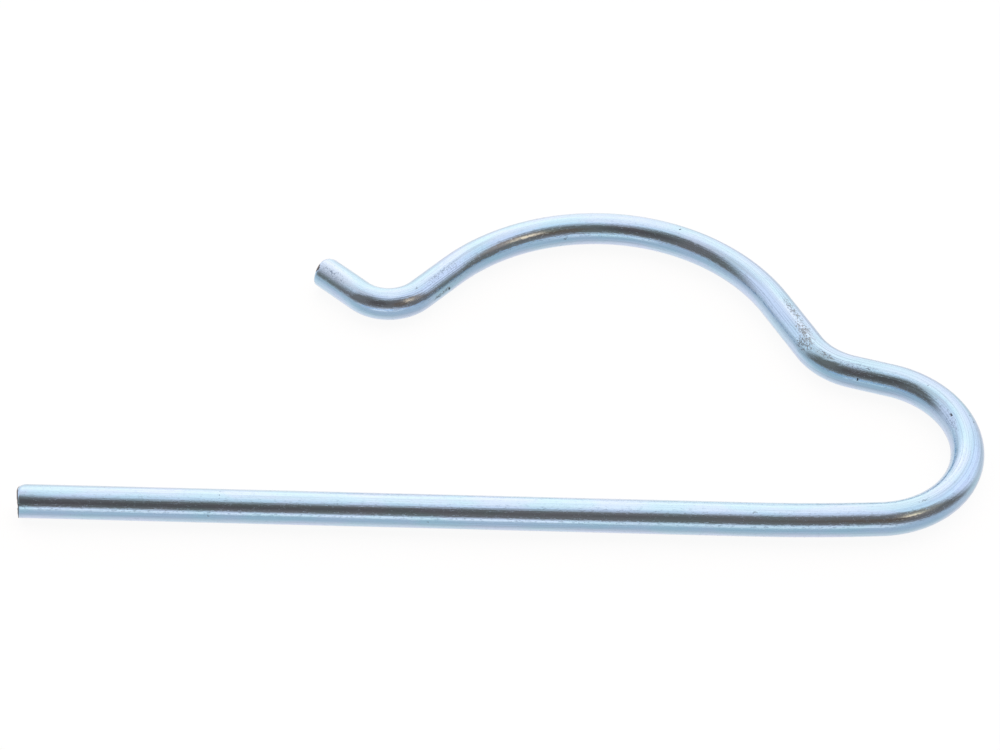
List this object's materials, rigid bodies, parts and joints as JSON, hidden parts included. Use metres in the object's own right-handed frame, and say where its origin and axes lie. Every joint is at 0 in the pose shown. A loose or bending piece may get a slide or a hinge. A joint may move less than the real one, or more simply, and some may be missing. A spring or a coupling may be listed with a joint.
{
  "type": "hitch r clip",
  "caption": "Bent spring-wire R clip: a straight leg for a cross hole, a round spring bend, a bowed arm that grips the outside of a pin, and a turned-out pull tip.",
  "frame": {"origin": "on the straight leg's axis, beside the crown of the bow, where the centre line of the pin that the clip holds passes over the leg", "axes": "+X along the straight leg from its sheared tip to the spring bend, +Y from the leg to the bowed arm, +Z square to the clip's plane and up from the surface it lies on"},
  "size_m": [0.0857, 0.0404, 0.003],
  "materials": {
    "zinc_plated_wire": "bright zinc plate with a clear blue passivation, over drawn spring wire"
  },
  "bodies": {
    "root": {"clip_wire": "zinc_plated_wire"}
  },
  "joints": []
}
